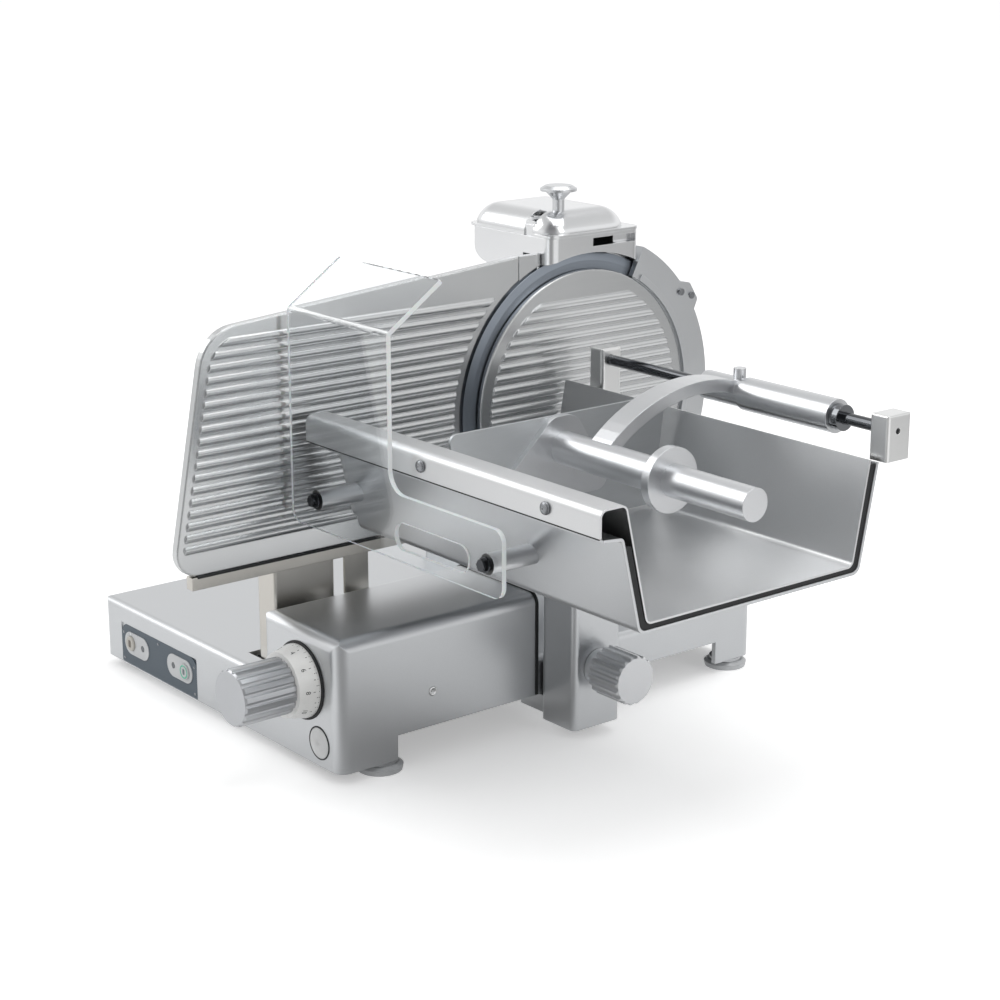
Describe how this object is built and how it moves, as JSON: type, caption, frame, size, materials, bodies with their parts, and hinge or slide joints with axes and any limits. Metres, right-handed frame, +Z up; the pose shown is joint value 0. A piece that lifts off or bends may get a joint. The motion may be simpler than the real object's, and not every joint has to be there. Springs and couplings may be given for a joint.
{
  "type": "food slicer",
  "caption": "Upright counter food slicer with a standing round knife, ribbed gauge plate, sliding trough with a swinging pusher, clear hand guard and a sharpener on top.",
  "frame": {"origin": "middle of the whole machine's footprint, on the table", "axes": "+X to the operator's right, where the trough is open; +Y away from the operator, along the carriage's travel; +Z up"},
  "size_m": [0.805, 0.703, 0.544],
  "materials": {
    "cast_aluminium": "satin anodised casting",
    "machined_aluminium": "machined and anodised",
    "stainless_sheet": "brushed stainless sheet",
    "knife_steel": "hard-chromed and ground",
    "bright_steel": "ground steel",
    "dark_steel_rod": "polished dark steel",
    "screw_steel": "zinc-plated steel",
    "panel_film": "matt polyester film",
    "pad_grey": "matt moulded plastic",
    "lens_black": "clear glossy lens",
    "stop_cap": "moulded plastic",
    "start_cap": "moulded plastic",
    "dial_white": "gloss moulded plastic",
    "black_plastic": "moulded plastic",
    "bush_bronze": "sintered bronze",
    "foot_rubber": "moulded rubber",
    "belt_rubber": "ribbed rubber belt",
    "motor_paint": "painted casting",
    "board_green": "circuit board",
    "clear_acrylic": "clear polished acrylic",
    "coarse_stone": "bonded abrasive",
    "fine_stone": "bonded abrasive"
  },
  "bodies": {
    "base": {"base_casting": "cast_aluminium", "bottom_cover": "stainless_sheet", "foot_pads": "foot_rubber", "foot_studs": "bright_steel", "control_panel": "panel_film", "button_pads": "pad_grey", "indicator_lenses": "lens_black", "control_board": "board_green", "power_inlet": "black_plastic", "knife_housing": "cast_aluminium", "guard_ring": "cast_aluminium", "ring_screws": "screw_steel", "knife_bearings": "bright_steel", "belt_cover": "stainless_sheet", "motor": "motor_paint", "motor_cover": "stainless_sheet", "drive_belt": "belt_rubber", "knife_cover": "machined_aluminium", "slice_deflector": "stainless_sheet", "gauge_rod": "bright_steel", "slide_rail": "bright_steel", "roller_track": "bright_steel"},
    "stop_button": {"stop_button": "stop_cap"},
    "start_button": {"start_button": "start_cap"},
    "knife": {"knife_shaft": "bright_steel", "knife": "knife_steel", "knife_screws": "screw_steel", "knife_pulley": "machined_aluminium"},
    "motor_rotor": {"motor_rotor": "bright_steel"},
    "cover_knob": {"cover_knob": "black_plastic"},
    "thickness_knob": {"thickness_dial": "dial_white", "thickness_knob": "machined_aluminium", "thickness_cam": "bright_steel"},
    "gauge": {"gauge_plate": "machined_aluminium", "gauge_carrier": "stainless_sheet", "gauge_follower": "bright_steel"},
    "sharpener": {"sharpener_body": "cast_aluminium", "sharpener_lid": "cast_aluminium"},
    "plunger": {"sharpener_plunger": "machined_aluminium"},
    "grinding_stone": {"grinding_stone": "coarse_stone"},
    "deburring_stone": {"deburring_stone": "fine_stone"},
    "carriage": {"carriage_column": "cast_aluminium", "carriage_bushes": "bush_bronze", "trough": "cast_aluminium", "tray": "stainless_sheet", "tray_screws": "screw_steel", "pusher_rod": "dark_steel_rod", "rod_brackets": "cast_aluminium", "hand_guard": "clear_acrylic", "guard_standoffs": "machined_aluminium", "guard_screws": "screw_steel"},
    "carriage_roller": {"carriage_roller": "bright_steel"},
    "carriage_knob": {"carriage_knob": "machined_aluminium"},
    "pusher_slider": {"pusher_bushes": "bush_bronze"},
    "pusher": {"pusher_sleeve": "machined_aluminium", "handle_tube": "machined_aluminium", "handle_grip": "machined_aluminium", "pusher_plate": "stainless_sheet", "plate_flange": "machined_aluminium", "pusher_spikes": "bright_steel"}
  },
  "joints": [
    {"name": "stop_press", "type": "slide", "parent": "base", "child": "stop_button", "axis": [0, 1, 0], "range_m": [0, 0.0015], "stiffness_N_per_m": 800, "springref_m": -0.002},
    {"name": "start_press", "type": "slide", "parent": "base", "child": "start_button", "axis": [0, 1, 0], "range_m": [0, 0.0015], "stiffness_N_per_m": 800, "springref_m": -0.002},
    {"name": "knife_spin", "type": "hinge", "parent": "base", "child": "knife", "pos_m": [-0.0695, 0.16748, 0.305], "axis": [1, 0, 0], "continuous": true},
    {"name": "motor_spin", "type": "hinge", "parent": "base", "child": "motor_rotor", "pos_m": [-0.1295, 0.17948, 0.15], "axis": [1, 0, 0], "continuous": true},
    {"name": "cover_knob_turn", "type": "hinge", "parent": "base", "child": "cover_knob", "pos_m": [-0.1655, 0.16748, 0.305], "axis": [-1, 0, 0], "range_deg": [0, 720]},
    {"name": "thickness_turn", "type": "hinge", "parent": "base", "child": "thickness_knob", "pos_m": [0.0035, -0.29252, 0.095], "axis": [0, 1, 0], "range_deg": [0, 300]},
    {"name": "gauge_slide", "type": "slide", "parent": "base", "child": "gauge", "axis": [-1, 0, 0], "range_m": [0, 0.016]},
    {"name": "sharpener_lift", "type": "slide", "parent": "base", "child": "sharpener", "axis": [0, 0, 1], "range_m": [0, 0.03]},
    {"name": "plunger_press", "type": "slide", "parent": "sharpener", "child": "plunger", "axis": [0, 0, -1], "range_m": [0, 0.0036], "stiffness_N_per_m": 700, "springref_m": -0.012},
    {"name": "grinding_stone_spin", "type": "hinge", "parent": "plunger", "child": "grinding_stone", "pos_m": [-0.06714, 0.13048, 0.47745], "axis": [0.9397, 0, -0.342], "continuous": true},
    {"name": "deburring_stone_spin", "type": "hinge", "parent": "plunger", "child": "deburring_stone", "pos_m": [-0.07186, 0.16048, 0.48151], "axis": [-0.9397, 0, -0.342], "continuous": true},
    {"name": "carriage_slide", "type": "slide", "parent": "base", "child": "carriage", "axis": [0, 1, 0], "range_m": [-0.14, 0.19]},
    {"name": "roller_spin", "type": "hinge", "parent": "carriage", "child": "carriage_roller", "pos_m": [-0.0295, 0.02648, 0.0496], "axis": [1, 0, 0], "range_deg": [-680, 920]},
    {"name": "carriage_knob_turn", "type": "hinge", "parent": "carriage", "child": "carriage_knob", "pos_m": [0.1505, 0.02648, 0.079], "axis": [1, 0, 0], "range_deg": [0, 540]},
    {"name": "pusher_slide", "type": "slide", "parent": "carriage", "child": "pusher_slider", "axis": [1, 0, 0], "range_m": [-0.148, 0.042]},
    {"name": "pusher_swing", "type": "hinge", "parent": "pusher_slider", "child": "pusher", "pos_m": [0.2005, 0.15748, 0.362], "axis": [-1, 0, 0], "range_deg": [0, 95]}
  ],
  "couplings": [
    {"joint": "motor_spin", "follows": "knife_spin", "ratio": 2.2},
    {"joint": "thickness_turn", "follows": "gauge_slide", "rad_per_m": 327.25},
    {"joint": "roller_spin", "follows": "carriage_slide", "rad_per_m": 83.333}
  ]
}
